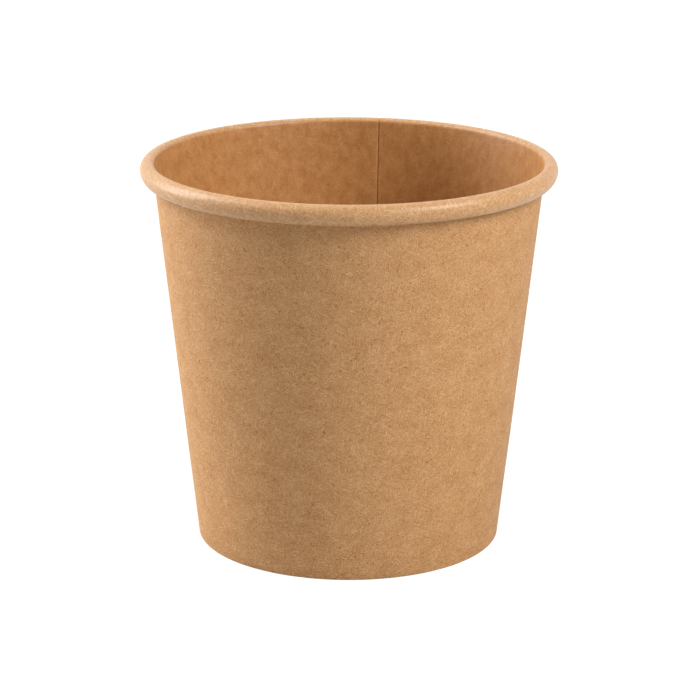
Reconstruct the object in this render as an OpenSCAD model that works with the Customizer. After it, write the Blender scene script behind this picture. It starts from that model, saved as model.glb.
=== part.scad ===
// A paper soup cup, in two pieces of kraft board.
// The sidewall is one sheet, wrapped to a cone and lapped on itself at the seam. Its top edge is rolled
// outwards to the rim, and its bottom edge is folded inwards and up to the hem. The bottom disc has a
// skirt turned down all round, which is held between the wall and the hem.
// The origin is at the middle of the base, in the plane that the cup stands on. +Z is up.

/* [Cup] */
// Diameter over the rolled rim
rim_d = 90; // [80:0.5:110]
// Height from the base to the top of the rim
cup_h = 84.4; // [50:0.2:140]
// Diameter of the wall's outside, carried down to the base
base_d = 66.4; // [54:0.2:76]

/* [Board] */
// Thickness of the sidewall's board
wall_t = 0.42; // [0.3:0.01:0.48]
// Thickness of the bottom disc's board
disc_t = 0.32; // [0.2:0.01:0.45]
// Thickness of the sealing film between two layers of board
seal_gap = 0.03; // [0.02:0.01:0.05]

/* [Rolled rim] */
// Height of the roll
roll_h = 4.3; // [3.8:0.1:5.5]
// Radius of the turn from the wall to the top of the rim
roll_in_r = 1.2; // [1:0.05:1.5]
// Radius of the turn from the top of the rim to its outside
roll_top_r = 1.9; // [1.8:0.05:2.4]
// Radius left inside the tucked edge, where the board is double
tuck_in_r = 0.06; // [0.04:0.01:0.12]
// Room between the tucked edge and the wall, where the board is double
tuck_gap = 0.05; // [0.03:0.01:0.2]
// Direction in which the tucked edge stops, past the bottom of the roll
tuck_end = 230; // [180:5:250]

/* [Bottom] */
// Depth of the recess under the disc
recess_h = 6.8; // [5:0.1:12]
// Radius of the turn from the disc to its skirt, on the upper face
disc_turn_r = 0.8; // [0.6:0.05:1.2]
// Room between the hem's edge and the turn of the disc
hem_gap = 0.4; // [0.2:0.1:1.5]

/* [Seam] */
// Direction of the edge that shows inside the cup, from +X towards +Y
seam_angle = 80.5; // [0:0.5:360]
// Width of the lap, at the rim
lap_w = 6.5; // [4:0.5:10]
// Width over which the outer layer climbs on the inner one, at the rim
climb_w = 1.2; // [0.6:0.1:2.5]

/* [Hidden] */
$fn = 144;

// Steps in which a turn of the rim, a fold of the foot and the climb at the seam are drawn.
turn_steps = 8;
fold_steps = 4;
climb_steps = 3;
kraft_outside = [0.77, 0.60, 0.42];
kraft_inside = [0.66, 0.45, 0.27];

rim_r = rim_d / 2;
base_r = base_d / 2;

// Angle that a width takes up on the rim.
function on_rim(width) = width / rim_r * 180 / PI;
lap_angle = on_rim(lap_w);
climb_step = on_rim(climb_w / climb_steps);
climb_end = seam_angle + climb_steps * climb_step;

// Angle and depth by which neighbouring stretches and glued layers of the sheet run into each other.
join_angle = 0.1;
join_depth = 0.02;

// Distance by which the cut edges of the outer layer stand back from those of the inner one.
edge_back = 0.15;

// The wall leans outwards so that its inner face runs into the first turn of the roll.
roll_in_c = [rim_r - roll_top_r, cup_h - roll_in_r];
roll_in_run = [roll_in_c.x - base_r, roll_in_c.y];
lean = acos((roll_in_r - wall_t) / norm(roll_in_run)) - atan2(roll_in_run.y, roll_in_run.x);

// Radius, at height z, of a line that runs beside the wall's inner face, and so far outside of it.
function beside_wall(z, out) = base_r + (out - wall_t) / cos(lean) + z * tan(lean);

// Centres and radii of the roll's turns: over the top, down the outside and into the tuck.
roll_top_c = [rim_r - roll_top_r, cup_h - roll_top_r];
tuck_r = 2 * wall_t + tuck_in_r;
tuck_z = cup_h - roll_h + tuck_r;
tuck_c = [beside_wall(tuck_z, 2 * wall_t + tuck_gap + tuck_r), tuck_z];
tuck_run = [rim_r - tuck_r - tuck_c.x, roll_top_c.y - tuck_c.y];
roll_out_r = tuck_r + (tuck_run.x * tuck_run.x + tuck_run.y * tuck_run.y) / (2 * tuck_run.x);
roll_out_c = [rim_r - roll_out_r, roll_top_c.y];
tuck_start = atan2(tuck_c.y - roll_out_c.y, tuck_c.x - roll_out_c.x);

// The foot: the board turns round the lower edge of the skirt, and the hem lies against the skirt.
foot_r = seal_gap;
foot_z = wall_t + foot_r;
hem_out = -(disc_t + 2 * seal_gap);
disc_turn_z = recess_h + disc_t - disc_turn_r;
hem_top = disc_turn_z - hem_gap;

// A turn of the board: points on its inner face, each with the direction in which the board lies.
// The side is 1 where the board lies outside the turn, and -1 where it lies inside.
function turn(centre, r, from, to, side, steps = turn_steps) = [
    for (i = [0 : steps])
        let (a = from + (to - from) * i / steps, n = [cos(a), sin(a)])
            [centre + r * n, side * n]
];

// The inner face of the board, from the hem's edge down, round the foot, up the wall and round the roll.
face = concat(
    [[[beside_wall(hem_top, hem_out), hem_top], [-cos(lean), sin(lean)]]],
    turn([beside_wall(foot_z, hem_out + foot_r), foot_z], foot_r, 180 - lean, 270, 1, fold_steps),
    turn([beside_wall(foot_z, -foot_r), foot_z], foot_r, 270, 360 - lean, 1, fold_steps),
    turn(roll_in_c, roll_in_r, 180 - lean, 90, -1),
    turn(roll_top_c, roll_top_r, 90, 0, -1),
    turn(roll_out_c, roll_out_r, 0, tuck_start, -1),
    turn(tuck_c, tuck_r, tuck_start, -tuck_end, -1)
);

// A point on the line from one point of the face towards the next, so far from its start.
function stand_back(start, next, back) = start + (next - start) * back / norm(next[0] - start[0]);

// A stretch of the wrapped board, from one direction round to another. It fills the space between two
// depths, counted from the sheet's inner face, and doesn't go below the base. Its cut edges stand back
// by as much of the full distance as the stretch lies on top of the inner layer.
module board(from, to, near, far) {
    last = len(face) - 1;
    back = edge_back * min(1, (far - wall_t) / wall_t);
    kept = concat(
        [stand_back(face[0], face[1], back)],
        [for (i = [1 : last - 1]) face[i]],
        [stand_back(face[last], face[last - 1], back)]
    );
    near_line = [for (p = kept) p[0] + near * p[1]];
    far_line = [for (i = [last : -1 : 0]) kept[i][0] + far * kept[i][1]];
    rotate_extrude(angle = to - from, start = from) intersection() {
        polygon(concat(near_line, far_line));
        square([rim_d, cup_h + roll_h]);
    }
}

// The sheet: round the cup in one layer, then up in small steps on to its own edge, which shows inside,
// and over it as the second layer of the lap.
module sidewall() {
    color(kraft_outside) union() {
        board(climb_end - join_angle, seam_angle + 360, 0, wall_t);
        for (i = [1 : climb_steps]) {
            from = climb_end - i * climb_step;
            moved = wall_t * (i - 0.5) / climb_steps;
            board(from - join_angle, from + climb_step, moved, moved + wall_t);
        }
        board(seam_angle - lap_angle, seam_angle + join_angle, wall_t - join_depth, 2 * wall_t);
    }
}

// The disc and its skirt, which leans as the wall does and stops short of the foot by the film.
module bottom_disc() {
    turn_c = [beside_wall(disc_turn_z, -(seal_gap + disc_turn_r)), disc_turn_z];
    upper = turn(turn_c, disc_turn_r, 90, -lean, 1);
    lower = turn(turn_c, disc_turn_r - disc_t, -lean, 90, 1);
    skirt_z = wall_t + seal_gap;
    color(kraft_inside) rotate_extrude() polygon(concat(
        [[0, recess_h], [0, recess_h + disc_t]],
        [for (p = upper) p[0]],
        [[beside_wall(skirt_z, -seal_gap), skirt_z], [beside_wall(skirt_z, -(seal_gap + disc_t)), skirt_z]],
        [for (p = lower) p[0]]
    ));
}

sidewall();
bottom_disc();
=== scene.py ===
import math

import bmesh
import bpy
from mathutils import Matrix, Vector


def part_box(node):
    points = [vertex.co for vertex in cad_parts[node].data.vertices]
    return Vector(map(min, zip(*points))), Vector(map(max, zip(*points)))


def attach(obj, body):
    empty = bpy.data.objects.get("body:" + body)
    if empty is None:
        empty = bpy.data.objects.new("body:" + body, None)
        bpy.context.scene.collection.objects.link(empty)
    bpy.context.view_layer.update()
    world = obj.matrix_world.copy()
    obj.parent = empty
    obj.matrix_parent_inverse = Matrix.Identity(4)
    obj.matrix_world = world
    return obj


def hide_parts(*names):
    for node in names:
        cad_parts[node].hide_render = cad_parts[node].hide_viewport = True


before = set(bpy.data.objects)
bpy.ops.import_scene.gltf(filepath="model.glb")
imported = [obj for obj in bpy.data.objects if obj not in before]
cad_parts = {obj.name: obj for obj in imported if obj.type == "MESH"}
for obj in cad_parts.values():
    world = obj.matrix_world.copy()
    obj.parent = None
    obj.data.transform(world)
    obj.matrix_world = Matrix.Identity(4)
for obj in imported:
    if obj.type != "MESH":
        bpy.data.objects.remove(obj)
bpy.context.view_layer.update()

wallLow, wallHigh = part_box("sidewall")
print("frame loaded")

# The sheet that is wrapped to the sidewall, in metres and degrees
sidewallSheet = {
    "rimRadius": (wallHigh.x - wallLow.x) / 2,
    "height": wallHigh.z,
    "baseRadius": 0.0332,       # of the wall's outside, carried down to the base
    "board": 0.00042,
    "rollHeight": 0.0043,
    "rollInRadius": 0.0012,     # from the wall to the top of the rim
    "rollTopRadius": 0.0019,    # from the top of the rim to its outside
    "tuckInRadius": 0.00006,    # left inside the tucked edge where the board is double
    "tuckGap": 0.00005,
    "tuckEnd": 230,             # past the bottom of the roll
    "seamAngle": 80.5,          # of the edge that shows inside the cup
    "lapWidth": 0.0065,
    "climbWidth": 0.0006,       # over which the outer layer climbs on the inner one
    "thinWidth": 0.0016,        # over which the inner layer is pressed thin towards its edge
    "thinEdge": 0.00020,        # how thick the board is left there, on the wall and on the roll
    "thinRollEdge": 0.00003,
    "glue": 0.00001,
    "rolledFrom": 0.05,         # where the roll's look begins, and over how much of a turn it comes in
    "rolledOver": 0.8,
    "hemRows": 6,
    "foldRows": 5,
    "wallRows": 30,
    "rollRows": (9, 10, 5, 14),
    "lapColumns": 6,
    "thinColumns": 5,
    "climbColumns": 4,
    "columns": 288,
    "waviness": 0.00005,        # how far the wall strays from a true cone
    "waves": ((2, 1.0, 0.6, 0), (3, 0.6, 2.1, 25), (7, 0.4, 4.0, -60)),
    "wavesFrom": (0.008, 0.020),    # height at which the waves come in, and over how much
    "wavesTo": (0.080, 0.010),
    "creaseAngle": 35,
}

# The bottom disc, and the hem that holds its skirt
bottomDisc = {
    "board": 0.00032,
    "film": 0.00003,
    "recess": 0.0068,
    "turnRadius": 0.0008,
    "hemGap": 0.0004,
    "columns": 192,
    "rings": 16,
    "turnRows": 8,
    "skirtRows": 6,
    "dish": 0.00006,            # how far the disc bows down in its middle
}


# Shapes

def onRim(width):
    return math.degrees(width / sidewallSheet["rimRadius"])


def circlePoint(centre, radius, angle):
    turn = math.radians(angle)
    return (centre[0] + radius * math.cos(turn), centre[1] + radius * math.sin(turn))


def wallLean():
    sheet = sidewallSheet
    runX = sheet["rimRadius"] - sheet["rollTopRadius"] - sheet["baseRadius"]
    runZ = sheet["height"] - sheet["rollInRadius"]
    offset = sheet["rollInRadius"] - sheet["board"]
    return math.acos(offset / math.hypot(runX, runZ)) - math.atan2(runZ, runX)


lean = wallLean()


def besideWall(z, out):
    # radius of a line that runs beside the wall's inner face, and so far outside of it
    return sidewallSheet["baseRadius"] + (out - sidewallSheet["board"]) / math.cos(lean) + z * math.tan(lean)


def lineTo(bm, tip, point, steps=1):
    # draws a straight run of the section
    start, end = tip.co.copy(), Vector((point[0], 0, point[1]))
    for i in range(steps):
        tip = bmesh.ops.extrude_vert_indiv(bm, verts=[tip])["verts"][0]
        tip.co = start.lerp(end, (i + 1) / steps)
    return tip


def bendTo(bm, tip, centre, sweep, steps):
    # draws a round run of the section
    made = bmesh.ops.spin(bm, geom=[tip], cent=(centre[0], 0, centre[1]), axis=(0, -1, 0),
                          angle=math.radians(sweep), steps=steps)
    return next(g for g in made["geom_last"] if isinstance(g, bmesh.types.BMVert))


def measureSection(start, along, boardSide):
    # walks down the section and notes its length so far and the side on which the board lies
    chain, cameBy = [start], None
    while True:
        onward = [e for e in chain[-1].link_edges if e is not cameBy]
        if not onward:
            break
        cameBy = onward[0]
        chain.append(cameBy.other_vert(chain[-1]))
    length = 0
    for i, vert in enumerate(chain):
        before, after = chain[max(i - 1, 0)], chain[min(i + 1, len(chain) - 1)]
        if i:
            length += (vert.co - before.co).length
        travel = (after.co - before.co).normalized()
        vert[along] = length
        vert[boardSide] = (travel.z, 0, -travel.x)
    return chain


def smoothStep(value):
    value = min(max(value, 0), 1)
    return value * value * (3 - 2 * value)


def layerLift(turn, rolled):
    # how far the outer layer lies outside of its place in a single layer: as much as the pressed inner layer
    # is thick, and then less and less as it climbs
    sheet = sidewallSheet
    seam = sheet["seamAngle"]
    thin = smoothStep(1 + (turn - seam) / onRim(sheet["thinWidth"]))
    edge = sheet["thinEdge"] + (sheet["thinRollEdge"] - sheet["thinEdge"]) * rolled
    layer = sheet["board"] + (edge - sheet["board"]) * thin + sheet["glue"]
    return layer * (1 - smoothStep((turn - seam) / onRim(sheet["climbWidth"])))


def wallWave(turn, height):
    # a slow, even waviness, which fades out towards the hem and the roll
    sheet = sidewallSheet
    low, lowOver = sheet["wavesFrom"]
    high, highOver = sheet["wavesTo"]
    fade = smoothStep((height - low) / lowOver) * smoothStep((high - height) / highOver)
    swing = sum(share * math.sin(count * turn + shift + twist * height)
                for count, share, shift, twist in sheet["waves"])
    return fade * swing * sheet["waviness"]


def thicken(bm, board, nearSlot, farSlot, rimSlot):
    # gives the sheet its board, away from the faces' normals, and each side its material
    inner = set(bm.faces)
    bmesh.ops.solidify(bm, geom=bm.faces[:], thickness=board)
    for face in bm.faces:
        touching = any(other in inner for edge in face.edges for other in edge.link_faces if other is not face)
        face.material_index = nearSlot if face in inner else rimSlot if touching else farSlot


def finishPiece(bm, name, materials):
    mesh = bpy.data.meshes.new(name)
    bm.to_mesh(mesh)
    bm.free()
    for material in materials:
        mesh.materials.append(material)
    mesh.shade_smooth()
    mesh.set_sharp_from_angle(angle=math.radians(sidewallSheet["creaseAngle"]))
    piece = bpy.data.objects.new(name, mesh)
    bpy.context.scene.collection.objects.link(piece)
    return piece


def drawSheetSection(bm):
    # the sheet's inner face in one plane, from the hem's edge to the tucked edge of the roll
    sheet, disc = sidewallSheet, bottomDisc
    board, rim, top = sheet["board"], sheet["rimRadius"], sheet["height"]
    footRadius = disc["film"]
    footZ = board + footRadius
    hemOut = -(disc["board"] + 2 * disc["film"])
    hemTop = disc["recess"] + disc["board"] - disc["turnRadius"] - disc["hemGap"]
    leanAngle = math.degrees(lean)
    hemFold = (besideWall(footZ, hemOut + footRadius), footZ)
    wallFold = (besideWall(footZ, -footRadius), footZ)

    rollIn = (rim - sheet["rollTopRadius"], top - sheet["rollInRadius"])
    rollTop = (rim - sheet["rollTopRadius"], top - sheet["rollTopRadius"])
    tuckRadius = 2 * board + sheet["tuckInRadius"]
    tuckZ = top - sheet["rollHeight"] + tuckRadius
    tuck = (besideWall(tuckZ, 2 * board + sheet["tuckGap"] + tuckRadius), tuckZ)
    runX, runZ = rim - tuckRadius - tuck[0], rollTop[1] - tuck[1]
    outRadius = tuckRadius + (runX * runX + runZ * runZ) / (2 * runX)
    rollOut = (rim - outRadius, rollTop[1])
    tuckStart = math.degrees(math.atan2(tuck[1] - rollOut[1], tuck[0] - rollOut[0]))

    start = bm.verts.new((besideWall(hemTop, hemOut), 0, hemTop))
    tip = lineTo(bm, start, circlePoint(hemFold, footRadius, 180 - leanAngle), sheet["hemRows"])
    tip = bendTo(bm, tip, hemFold, 90 + leanAngle, sheet["foldRows"])
    tip = lineTo(bm, tip, circlePoint(wallFold, footRadius, 270))
    tip = bendTo(bm, tip, wallFold, 90 - leanAngle, sheet["foldRows"])
    wallTop = circlePoint(rollIn, sheet["rollInRadius"], 180 - leanAngle)
    wallEnd = tip = lineTo(bm, tip, wallTop, sheet["wallRows"])
    turns = ((rollIn, leanAngle - 90), (rollTop, -90), (rollOut, tuckStart), (tuck, -sheet["tuckEnd"] - tuckStart))
    for (centre, sweep), rows in zip(turns, sheet["rollRows"]):
        tip = bendTo(bm, tip, centre, sweep, rows)
    return start, wallEnd


def wrapSheet(bm, geometry, start, sweep, steps, turnLayer):
    # spins the sheet's edge on round the cup and notes the direction of each new point
    known = set(bm.verts)
    made = bmesh.ops.spin(bm, geom=geometry, cent=(0, 0, 0), axis=(0, 0, 1),
                          angle=math.radians(sweep), steps=steps)
    for vert in bm.verts:
        if vert not in known:
            turn = math.degrees(math.atan2(vert.co.y, vert.co.x)) % 360
            vert[turnLayer] = turn if turn > start + 0.01 else turn + 360
    return made["geom_last"]


def makeSidewall(materials):
    sheet = sidewallSheet
    bm = bmesh.new()
    along = bm.verts.layers.float.new("along")
    turnLayer = bm.verts.layers.float.new("turn")
    rolled = bm.verts.layers.float.new("rolled")
    boardSide = bm.verts.layers.float_vector.new("boardSide")
    first, wallEnd = drawSheetSection(bm)
    section = measureSection(first, along, boardSide)
    footLength = min(v[along] for v in section if v[boardSide].x > 0.99 and v.co.z > 0.0004)

    # how far each place has come round the roll, where the board is pressed and its coating stretched
    for vert in section:
        come = (vert[along] - wallEnd[along]) / sheet["rollInRadius"]
        vert[rolled] = smoothStep((come - sheet["rolledFrom"]) / sheet["rolledOver"])

    # the outer layer of the lap comes first, then its climb on to the inner one, then the way round
    seam, lap, climb = sheet["seamAngle"], onRim(sheet["lapWidth"]), onRim(sheet["climbWidth"])
    bmesh.ops.rotate(bm, verts=bm.verts[:], cent=(0, 0, 0),
                     matrix=Matrix.Rotation(math.radians(seam - lap), 3, "Z"))
    for vert in bm.verts:
        vert[turnLayer] = seam - lap
    geometry = bm.verts[:] + bm.edges[:]
    thin = onRim(sheet["thinWidth"])
    stretches = ((seam - lap, lap - thin, sheet["lapColumns"]), (seam - thin, thin, sheet["thinColumns"]),
                 (seam, climb, sheet["climbColumns"]), (seam + climb, 360 - climb - thin, sheet["columns"]),
                 (seam + 360 - thin, thin, sheet["thinColumns"]))
    for begin, sweep, columns in stretches:
        geometry = wrapSheet(bm, geometry, begin, sweep, columns, turnLayer)

    # each place moves out by its layer in the lap, but the foot stays in the plane that the cup stands on
    for vert in bm.verts:
        turn, side = vert[turnLayer], vert[boardSide].copy()
        radians = math.radians(turn)
        outward = Vector((math.cos(radians), math.sin(radians), 0))
        lift = layerLift(turn, vert[rolled])
        if vert[along] < footLength + 0.0002:
            side.z = 0
            if turn > seam - lap + 360:
                vert.co.z += 2 * sheet["glue"]
        vert.co += outward * (side.x * lift + wallWave(radians, vert.co.z))
        vert.co.z += side.z * lift

    # the faces look into the cup, and the board lies behind them
    bmesh.ops.recalc_face_normals(bm, faces=bm.faces[:])
    wallFace = min(bm.faces, key=lambda f: abs(f.calc_center_median().z - sheet["height"] / 2))
    centre = wallFace.calc_center_median()
    if wallFace.normal.dot(Vector((centre.x, centre.y, 0))) > 0:
        bmesh.ops.reverse_faces(bm, faces=bm.faces[:])
    innerVerts = set(bm.verts)
    thicken(bm, sheet["board"], 0, 1, 2)

    # the inner layer's edge is pressed thin, from the side that is glued
    for vert in bm.verts:
        if vert not in innerVerts and vert[turnLayer] > seam + 360 - thin:
            radians, side = math.radians(vert[turnLayer]), vert[boardSide]
            pressed = sheet["board"] + sheet["glue"] - layerLift(vert[turnLayer] - 360, vert[rolled])
            vert.co -= Vector((math.cos(radians) * side.x, math.sin(radians) * side.x, side.z)) * pressed

    # the flat blank from which the sheet was cut, in metres, as the map of its pattern
    blank = bm.loops.layers.uv.new("blank")
    innerRadius = besideWall(0, 0)
    blankRadius = innerRadius / math.sin(lean) - footLength
    middle = seam - lap / 2 + 180
    for face in bm.faces:
        for loop in face.loops:
            swing = math.radians(loop.vert[turnLayer] - middle) * math.sin(lean)
            reach = blankRadius + loop.vert[along]
            loop[blank].uv = (0.5 + reach * math.sin(swing), reach * math.cos(swing) - 0.25)
    return finishPiece(bm, "wrapped_sidewall", materials)


def makeBottomDisc(materials):
    disc = bottomDisc
    bm = bmesh.new()
    along = bm.verts.layers.float.new("along")
    boardSide = bm.verts.layers.float_vector.new("boardSide")
    top = disc["recess"] + disc["board"]
    turnZ = top - disc["turnRadius"]
    turnCentre = (besideWall(turnZ, -(disc["film"] + disc["turnRadius"])), turnZ)
    skirtZ = sidewallSheet["board"] + disc["film"]
    leanAngle = math.degrees(lean)

    start = bm.verts.new((0, 0, top))
    tip = lineTo(bm, start, circlePoint(turnCentre, disc["turnRadius"], 90), disc["rings"])
    tip = bendTo(bm, tip, turnCentre, -90 - leanAngle, disc["turnRows"])
    lineTo(bm, tip, (besideWall(skirtZ, -disc["film"]), skirtZ), disc["skirtRows"])
    measureSection(start, along, boardSide)

    bmesh.ops.spin(bm, geom=bm.verts[:] + bm.edges[:], cent=(0, 0, 0), axis=(0, 0, 1),
                   angle=2 * math.pi, steps=disc["columns"], use_merge=True)
    bmesh.ops.remove_doubles(bm, verts=bm.verts[:], dist=0.000001)
    for vert in bm.verts:
        if vert.co.z > turnZ:
            vert.co.z -= disc["dish"] * (1 - smoothStep(vert.co.xy.length / turnCentre[0]))
    bmesh.ops.recalc_face_normals(bm, faces=bm.faces[:])
    upper = min(bm.faces, key=lambda f: f.calc_center_median().xy.length)
    if upper.normal.z < 0:
        bmesh.ops.reverse_faces(bm, faces=bm.faces[:])
    thicken(bm, disc["board"], 0, 1, 2)

    # the flat round blank, as the map of its pattern
    blank = bm.loops.layers.uv.new("blank")
    for face in bm.faces:
        for loop in face.loops:
            flat = loop.vert.co.xy.copy()
            if flat.length > 0:
                flat = flat.normalized() * loop.vert[along]
            loop[blank].uv = (0.5 + flat.x, 0.5 + flat.y)
    return finishPiece(bm, "bottom_disc_board", materials)


# Materials

# What shows in the pulp, in metres, and how much more the pale places gain of green and blue than of red
pulpLook = {
    "cloud": 0.0048,
    "grain": 0.00028,
    "dashLength": 0.0016,
    "dashWidth": 0.00040,
    "fibreLength": 0.0046,
    "fibreWidth": 0.00044,
    "fleckLength": 0.0013,
    "fleckWidth": 0.00042,
    "warp": 0.0022,
    "warpReach": 0.0009,
    "span": 0.45,
    "channels": (0.62, 1.0, 1.5),
}

# The board's colour on each side, and how strongly its pulp shows there
coatedKraft = {
    "colour": (0.460, 0.214, 0.070),
    # paler colour on the roll: painted light, a painted highlight for the full light that falls on the roll's top
    "rollPaintedLightColour": (0.520, 0.275, 0.113),
    "fineOnWall": 0.75,
    "fineOnRoll": 1.6,
    "grainDepth": 0.16,
    "dashLift": 0.31,
    "fibreLift": 0.38,
    "fleckDepth": 0.40,
    "cloudOnWall": 0.14,
    "cloudOnRoll": 0.04,
    "cloudAcross": 2.2,
    "cloudAlong": 1.5,
    "roughness": 0.50,
    "gloss": 0.22,
    "coatOnWall": 0.14,
    "coatOnRoll": 0.52,
    "coatRoughness": 0.36,
    "bumpDistance": 0.00003,
    "place": (0.0, 0.0, 0.0),
}
plainKraft = {
    "colour": (0.504, 0.267, 0.113),
    "grainDepth": 0.62,
    "dashLift": 0.38,
    "fibreLift": 0.42,
    "fleckDepth": 0.88,
    "cloudDepth": 0.08,
    "cloudAcross": 1.0,
    "cloudAlong": 1.4,
    "roughness": 0.62,
    "gloss": 0.12,
    "bumpDistance": 0.00004,
    "place": (0.173, 0.391, 0.0),
}
boardEdge = {
    "deep": (0.330, 0.180, 0.080),
    "pale": (0.560, 0.350, 0.180),
    "pulpSize": 0.00018,
    "roughness": 0.85,
}


def addSockets(group, inputs, outputs):
    for name, kind, value in inputs:
        socket = group.interface.new_socket(name=name, in_out="INPUT", socket_type=kind)
        if value is not None:
            socket.default_value = value
    for name, kind in outputs:
        group.interface.new_socket(name=name, in_out="OUTPUT", socket_type=kind)


def addNode(tree, kind, inputs=None, **settings):
    # adds a node, sets its values and links the inputs that are given as sockets
    node = tree.nodes.new(kind)
    for name, value in settings.items():
        setattr(node, name, value)
    for name, value in (inputs or {}).items():
        if isinstance(value, bpy.types.NodeSocket):
            tree.links.new(value, node.inputs[name])
        else:
            node.inputs[name].default_value = value
    return node


def addMath(tree, operation, first, second=0.0, third=0.0, clamp=False):
    node = addNode(tree, "ShaderNodeMath", operation=operation, use_clamp=clamp)
    for socket, value in zip(node.inputs, (first, second, third)):
        if isinstance(value, bpy.types.NodeSocket):
            tree.links.new(value, socket)
        else:
            socket.default_value = value
    return node.outputs["Value"]


def addNoise(tree, vector, size, detail=2.0, roughness=0.5):
    node = addNode(tree, "ShaderNodeTexNoise", {"Vector": vector, "Scale": 1 / size, "Detail": detail,
                                                "Roughness": roughness}, noise_dimensions="3D")
    return node.outputs[0]


def addRange(tree, value, fromLow, fromHigh, toLow=0.0, toHigh=1.0):
    node = addNode(tree, "ShaderNodeMapRange", {"Value": value, "From Min": fromLow, "From Max": fromHigh,
                                                "To Min": toLow, "To Max": toHigh}, interpolation_type="SMOOTHSTEP")
    return node.outputs["Result"]


def makeFibreGroup():
    # fibres that lie in one direction: long, thin spots, each with a strength of its own
    group = bpy.data.node_groups.new("fibreLay", "ShaderNodeTree")
    addSockets(group, [
        ("Vector", "NodeSocketVector", None),
        ("Turn", "NodeSocketFloat", 0.0),
        ("Along", "NodeSocketFloat", 1.0),
        ("Across", "NodeSocketFloat", 1.0),
        ("Share", "NodeSocketFloat", 0.5),
    ], [("Mask", "NodeSocketFloat")])
    start = group.nodes.new("NodeGroupInput")
    end = group.nodes.new("NodeGroupOutput")
    turned = addNode(group, "ShaderNodeVectorRotate", {"Vector": start.outputs["Vector"],
                                                       "Angle": start.outputs["Turn"]}, rotation_type="Z_AXIS")
    stretch = addNode(group, "ShaderNodeCombineXYZ", {"X": start.outputs["Along"], "Y": start.outputs["Across"]})
    scaled = addNode(group, "ShaderNodeVectorMath", {0: turned.outputs["Vector"], 1: stretch.outputs["Vector"]},
                     operation="MULTIPLY")
    spots = addNode(group, "ShaderNodeTexVoronoi", {"Vector": scaled.outputs["Vector"], "Scale": 1.0},
                    voronoi_dimensions="2D", feature="F1")
    spot = addRange(group, spots.outputs["Distance"], 0.34, 0.04)
    chance = addNode(group, "ShaderNodeSeparateColor", {"Color": spots.outputs["Color"]})
    left = addMath(group, "SUBTRACT", 1.0, start.outputs["Share"])
    above = addMath(group, "SUBTRACT", chance.outputs["Red"], left)
    strength = addMath(group, "DIVIDE", above, start.outputs["Share"], clamp=True)
    group.links.new(addMath(group, "MULTIPLY", spot, strength), end.inputs["Mask"])
    return group


def addFibres(tree, fibreGroup, vector, turns, share, length, width):
    # lays of fibres in several directions, the strongest of which shows at each place
    total = None
    for turn in turns:
        lay = addNode(tree, "ShaderNodeGroup", node_tree=fibreGroup)
        tree.links.new(vector, lay.inputs["Vector"])
        lay.inputs["Turn"].default_value = math.radians(turn)
        lay.inputs["Along"].default_value = 1 / length
        lay.inputs["Across"].default_value = 1 / width
        lay.inputs["Share"].default_value = share
        mask = lay.outputs["Mask"]
        total = mask if total is None else addMath(tree, "MAXIMUM", total, mask)
    return total


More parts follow.
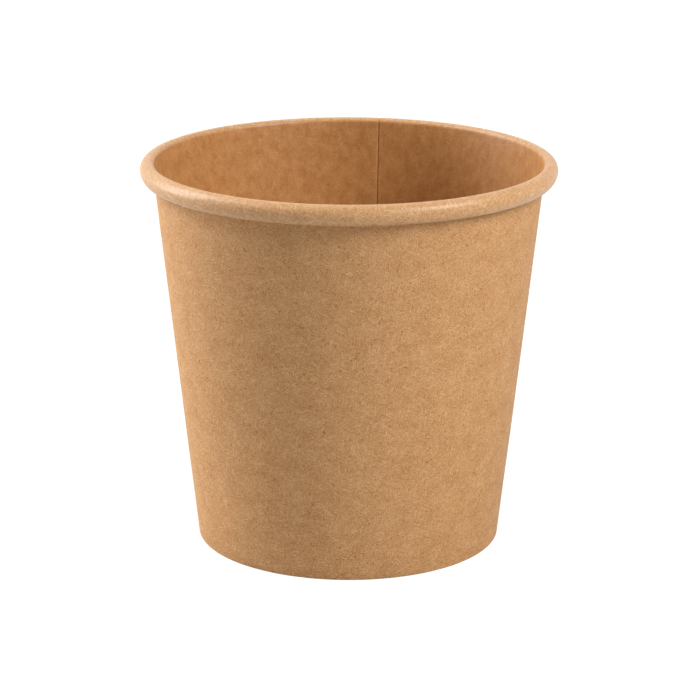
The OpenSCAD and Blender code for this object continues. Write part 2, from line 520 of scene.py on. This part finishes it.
def makePulpGroup():
    # the pulp of kraft board: grain, pale and dark dashes, long fibres, dark flecks and slow changes of tone
    fibreGroup = makeFibreGroup()
    group = bpy.data.node_groups.new("kraftPulp", "ShaderNodeTree")
    addSockets(group, [
        ("Vector", "NodeSocketVector", None),
        ("Fine", "NodeSocketFloat", 1.0),
        ("Grain Depth", "NodeSocketFloat", 0.2),
        ("Dash Lift", "NodeSocketFloat", 0.2),
        ("Fibre Lift", "NodeSocketFloat", 0.2),
        ("Fleck Depth", "NodeSocketFloat", 0.4),
        ("Cloud Depth", "NodeSocketFloat", 0.1),
        ("Cloud Across", "NodeSocketFloat", 1.0),
        ("Cloud Along", "NodeSocketFloat", 1.0),
    ], [("Shade", "NodeSocketFloat"), ("Height", "NodeSocketFloat")])
    start = group.nodes.new("NodeGroupInput")
    end = group.nodes.new("NodeGroupOutput")
    vector, look = start.outputs["Vector"], pulpLook

    # the fibres curl, so the place is bent by a noise before they are laid
    bend = addNode(group, "ShaderNodeTexNoise", {"Vector": vector, "Scale": 1 / look["warp"], "Detail": 2.0})
    centred = addNode(group, "ShaderNodeVectorMath", {0: bend.outputs["Color"], 1: (0.5, 0.5, 0.5)},
                      operation="SUBTRACT")
    bent = addNode(group, "ShaderNodeVectorMath", {0: centred.outputs["Vector"], 1: (look["warpReach"],) * 3,
                                                   2: vector}, operation="MULTIPLY_ADD").outputs["Vector"]
    pale = addFibres(group, fibreGroup, bent, (8, 47, 83, 118, 155), 0.9, look["dashLength"], look["dashWidth"])
    dark = addFibres(group, fibreGroup, bent, (27, 72, 139), 0.8, look["dashLength"], look["dashWidth"])
    long = addFibres(group, fibreGroup, bent, (31, 101, 160), 0.22, look["fibreLength"], look["fibreWidth"])

    grain = addMath(group, "MULTIPLY_ADD", addNoise(group, vector, look["grain"], 2.0, 0.6), 2.0, -1.0)
    stretch = addNode(group, "ShaderNodeCombineXYZ", {"X": start.outputs["Cloud Across"],
                                                      "Y": start.outputs["Cloud Along"], "Z": 1.0})
    stretched = addNode(group, "ShaderNodeVectorMath", {0: vector, 1: stretch.outputs["Vector"]},
                        operation="MULTIPLY")
    cloud = addRange(group, addNoise(group, stretched.outputs["Vector"], look["cloud"], 4.0, 0.54),
                     0.30, 0.70, -1.0, 1.0)
    flecks = addFibres(group, fibreGroup, bent, (15, 64, 122), 0.05, look["fleckLength"], look["fleckWidth"])

    dashes = addMath(group, "MULTIPLY_ADD", dark, -0.7, pale)
    fine = addMath(group, "MULTIPLY", grain, start.outputs["Grain Depth"])
    fine = addMath(group, "MULTIPLY_ADD", dashes, start.outputs["Dash Lift"], fine)
    fine = addMath(group, "MULTIPLY_ADD", long, start.outputs["Fibre Lift"], fine)
    swing = addMath(group, "MULTIPLY", cloud, start.outputs["Cloud Depth"])
    swing = addMath(group, "MULTIPLY_ADD", fine, start.outputs["Fine"], swing)
    swing = addMath(group, "SUBTRACT", swing, addMath(group, "MULTIPLY", flecks, start.outputs["Fleck Depth"]))
    shade = addMath(group, "MULTIPLY_ADD", swing, 0.5 / look["span"], 0.5, clamp=True)
    group.links.new(shade, end.inputs["Shade"])
    height = addMath(group, "MULTIPLY_ADD", dashes, 0.4, addMath(group, "MULTIPLY_ADD", long, 0.5, grain))
    group.links.new(addMath(group, "MULTIPLY", height, start.outputs["Fine"]), end.inputs["Height"])
    return group


def addPulpColour(tree, shade, colour):
    # the colour at a shade of the pulp, where 0.5 is the colour itself
    shares = [pulpLook["span"] * channel for channel in pulpLook["channels"]]
    deep = [value * (1 - share) for value, share in zip(colour, shares)]
    pale = [value * (1 + share) for value, share in zip(colour, shares)]
    return addMixedColour(tree, shade, deep, pale)


def addMixedColour(tree, factor, first, second):
    node = addNode(tree, "ShaderNodeMix", data_type="RGBA")
    tree.links.new(factor, node.inputs[0])
    for socket, value in zip((node.inputs[6], node.inputs[7]), (first, second)):
        if isinstance(value, bpy.types.NodeSocket):
            tree.links.new(value, socket)
        else:
            socket.default_value = (*value, 1)
    return node.outputs[2]


def startMaterial(name):
    material = bpy.data.materials.new(name)
    material.use_nodes = True
    tree = material.node_tree
    tree.nodes.clear()
    shader = tree.nodes.new("ShaderNodeBsdfPrincipled")
    output = tree.nodes.new("ShaderNodeOutputMaterial")
    tree.links.new(shader.outputs["BSDF"], output.inputs["Surface"])
    return material, tree, shader


def makeKraft(name, look, pulpGroup):
    material, tree, shader = startMaterial(name)
    place = addNode(tree, "ShaderNodeUVMap", uv_map="blank")
    moved = addNode(tree, "ShaderNodeMapping", {"Vector": place.outputs["UV"], "Location": look["place"]})
    pulp = addNode(tree, "ShaderNodeGroup", node_tree=pulpGroup)
    tree.links.new(moved.outputs["Vector"], pulp.inputs["Vector"])
    for socket, key in (("Grain Depth", "grainDepth"), ("Dash Lift", "dashLift"), ("Fibre Lift", "fibreLift"),
                        ("Fleck Depth", "fleckDepth"), ("Cloud Across", "cloudAcross"),
                        ("Cloud Along", "cloudAlong")):
        pulp.inputs[socket].default_value = look[key]
    colour = addPulpColour(tree, pulp.outputs["Shade"], look["colour"])
    if "rollPaintedLightColour" in look:
        # the roll's board is stretched, so its pulp shows more and its coating shines; its colour is also made
        # paler there, which is painted light: a painted highlight for the full light that falls on the roll
        rolled = addNode(tree, "ShaderNodeAttribute", attribute_name="rolled").outputs["Fac"]
        fine = addRange(tree, rolled, 0.0, 1.0, look["fineOnWall"], look["fineOnRoll"])
        cloud = addRange(tree, rolled, 0.0, 1.0, look["cloudOnWall"], look["cloudOnRoll"])
        coat = addRange(tree, rolled, 0.0, 1.0, look["coatOnWall"], look["coatOnRoll"])
        tree.links.new(fine, pulp.inputs["Fine"])
        tree.links.new(cloud, pulp.inputs["Cloud Depth"])
        tree.links.new(coat, shader.inputs["Coat Weight"])
        shader.inputs["Coat Roughness"].default_value = look["coatRoughness"]
        rollPaintedLightColour = addPulpColour(tree, pulp.outputs["Shade"], look["rollPaintedLightColour"])
        colour = addMixedColour(tree, rolled, colour, rollPaintedLightColour)
    else:
        pulp.inputs["Cloud Depth"].default_value = look["cloudDepth"]
    tree.links.new(colour, shader.inputs["Base Color"])
    rough = addMath(tree, "MULTIPLY_ADD", pulp.outputs["Height"], -0.06, look["roughness"])
    tree.links.new(rough, shader.inputs["Roughness"])
    bump = addNode(tree, "ShaderNodeBump", {"Height": pulp.outputs["Height"], "Strength": 1.0,
                                            "Distance": look["bumpDistance"]})
    tree.links.new(bump.outputs["Normal"], shader.inputs["Normal"])
    shader.inputs["Specular IOR Level"].default_value = look["gloss"]
    return material


def makeBoardEdge():
    # the cut edge of the board, with its open pulp
    look = boardEdge
    material, tree, shader = startMaterial("cutBoardEdge")
    place = addNode(tree, "ShaderNodeTexCoord")
    pulp = addNoise(tree, place.outputs["Object"], look["pulpSize"], 3.0, 0.6)
    tree.links.new(addMixedColour(tree, pulp, look["deep"], look["pale"]), shader.inputs["Base Color"])
    shader.inputs["Roughness"].default_value = look["roughness"]
    return material


# Studio

# An angle of 0 is on the camera's side, and one of 90 to its right
studioLights = [
    {"name": "rightKey", "angle": 58, "rise": 38, "away": 1.1, "wide": 0.50, "tall": 0.55, "watts": 12.0},
    {"name": "leftHigh", "angle": -109, "rise": 38, "away": 1.1, "wide": 0.60, "tall": 0.55, "watts": 9.8},
    {"name": "leftLow", "angle": -105, "rise": 8, "away": 1.1, "wide": 0.40, "tall": 0.55, "watts": 8.2},
    {"name": "leftTop", "angle": -62, "rise": 58, "away": 1.1, "wide": 0.24, "tall": 0.24, "watts": 1.0},
    {"name": "frontLow", "angle": 30, "rise": 8, "away": 1.1, "wide": 0.40, "tall": 0.55, "watts": 1.1},
    {"name": "backHigh", "angle": 180, "rise": 65, "away": 1.1, "wide": 0.40, "tall": 0.55, "watts": 1.2},
]
studio = {
    "roomLight": 0.02,
    "floorSize": 6.0,
    "floorColour": (0.62, 0.62, 0.62),
    "seenWhite": 0.93,          # of the floor as the camera sees it, and how much of its lit tone is added
    "seenTone": (0.15, 0.15, 0.15),
}
photoCamera = {
    "away": 0.6177,
    "rise": 16.453,
    "aim": (0.0003, 0.0, 0.0413),
    "lens": 144.55,
    "roll": 0.15,
}


def around(target, angle, rise, away):
    # a place round the cup, as an angle from the camera's side and a rise above the floor
    turn, up = math.radians(angle), math.radians(rise)
    return Vector(target) + away * Vector((math.sin(turn) * math.cos(up), -math.cos(turn) * math.cos(up),
                                           math.sin(up)))


def hangLights():
    middle = (0, 0, sidewallSheet["height"] / 2)
    for lamp in studioLights:
        data = bpy.data.lights.new(lamp["name"], "AREA")
        data.shape = "RECTANGLE"
        data.size, data.size_y = lamp["wide"], lamp["tall"]
        data.energy = lamp["watts"]
        light = bpy.data.objects.new(lamp["name"], data)
        light.location = around(middle, lamp["angle"], lamp["rise"], lamp["away"])
        light.rotation_euler = (Vector(middle) - light.location).to_track_quat("-Z", "Y").to_euler()
        bpy.context.scene.collection.objects.link(light)


def addSeenBy(tree):
    # 1 where the camera, a reflection or a view through something meets the surface
    path = tree.nodes.new("ShaderNodeLightPath")
    seen = addMath(tree, "MAXIMUM", path.outputs["Is Camera Ray"], path.outputs["Is Glossy Ray"])
    return addMath(tree, "MAXIMUM", seen, path.outputs["Is Transmission Ray"])


def layFloor():
    bm = bmesh.new()
    bmesh.ops.create_grid(bm, x_segments=1, y_segments=1, size=studio["floorSize"] / 2)
    mesh = bpy.data.meshes.new("studioFloor")
    bm.to_mesh(mesh)
    bm.free()
    floor = bpy.data.objects.new("studioFloor", mesh)
    bpy.context.scene.collection.objects.link(floor)

    # the floor is pale and plain, and the camera sees it as white with a little of the cup's shadow
    material = bpy.data.materials.new("paleFloor")
    material.use_nodes = True
    tree = material.node_tree
    tree.nodes.clear()
    matt = addNode(tree, "ShaderNodeBsdfDiffuse", {"Color": (*studio["floorColour"], 1)})
    faint = addNode(tree, "ShaderNodeBsdfDiffuse", {"Color": (*studio["seenTone"], 1)})
    white = addNode(tree, "ShaderNodeEmission", {"Color": (1, 1, 1, 1), "Strength": studio["seenWhite"]})
    seen = addNode(tree, "ShaderNodeAddShader", {0: faint.outputs["BSDF"], 1: white.outputs["Emission"]})
    blend = addNode(tree, "ShaderNodeMixShader", {0: addSeenBy(tree), 1: matt.outputs["BSDF"],
                                                  2: seen.outputs["Shader"]})
    output = tree.nodes.new("ShaderNodeOutputMaterial")
    tree.links.new(blend.outputs["Shader"], output.inputs["Surface"])
    mesh.materials.append(material)


def fillRoom():
    world = bpy.data.worlds.new("paleRoom")
    bpy.context.scene.world = world
    world.use_nodes = True
    tree = world.node_tree
    tree.nodes.clear()
    strength = addMath(tree, "MULTIPLY_ADD", addSeenBy(tree), 1 - studio["roomLight"], studio["roomLight"])
    light = addNode(tree, "ShaderNodeBackground", {"Color": (1, 1, 1, 1), "Strength": strength})
    output = tree.nodes.new("ShaderNodeOutputWorld")
    tree.links.new(light.outputs["Background"], output.inputs["Surface"])


def placeCamera():
    data = bpy.data.cameras.new("photoCamera")
    data.lens = photoCamera["lens"]
    data.clip_start, data.clip_end = 0.01, 20
    camera = bpy.data.objects.new("photoCamera", data)
    camera.location = around(photoCamera["aim"], 0, photoCamera["rise"], photoCamera["away"])
    look = (Vector(photoCamera["aim"]) - camera.location).to_track_quat("-Z", "Y")
    camera.rotation_euler = look.to_euler()
    camera.rotation_euler.rotate_axis("Z", math.radians(photoCamera["roll"]))
    bpy.context.scene.collection.objects.link(camera)
    bpy.context.scene.camera = camera


# The scene

placeCamera()
hangLights()
layFloor()
fillRoom()
bpy.context.scene.view_settings.view_transform = "Standard"
print("studio ready")

pulpGroup = makePulpGroup()
coatedSide = makeKraft("coatedKraftInside", coatedKraft, pulpGroup)
plainSide = makeKraft("plainKraftOutside", plainKraft, pulpGroup)
cutEdge = makeBoardEdge()
print("materials ready")

sidewall = makeSidewall([coatedSide, plainSide, cutEdge])
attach(sidewall, "root")
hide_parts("sidewall")
print("sidewall wrapped,", len(sidewall.data.polygons), "faces")

disc = makeBottomDisc([coatedSide, plainSide, cutEdge])
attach(disc, "root")
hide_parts("bottom_disc")
print("bottom disc set,", len(disc.data.polygons), "faces")
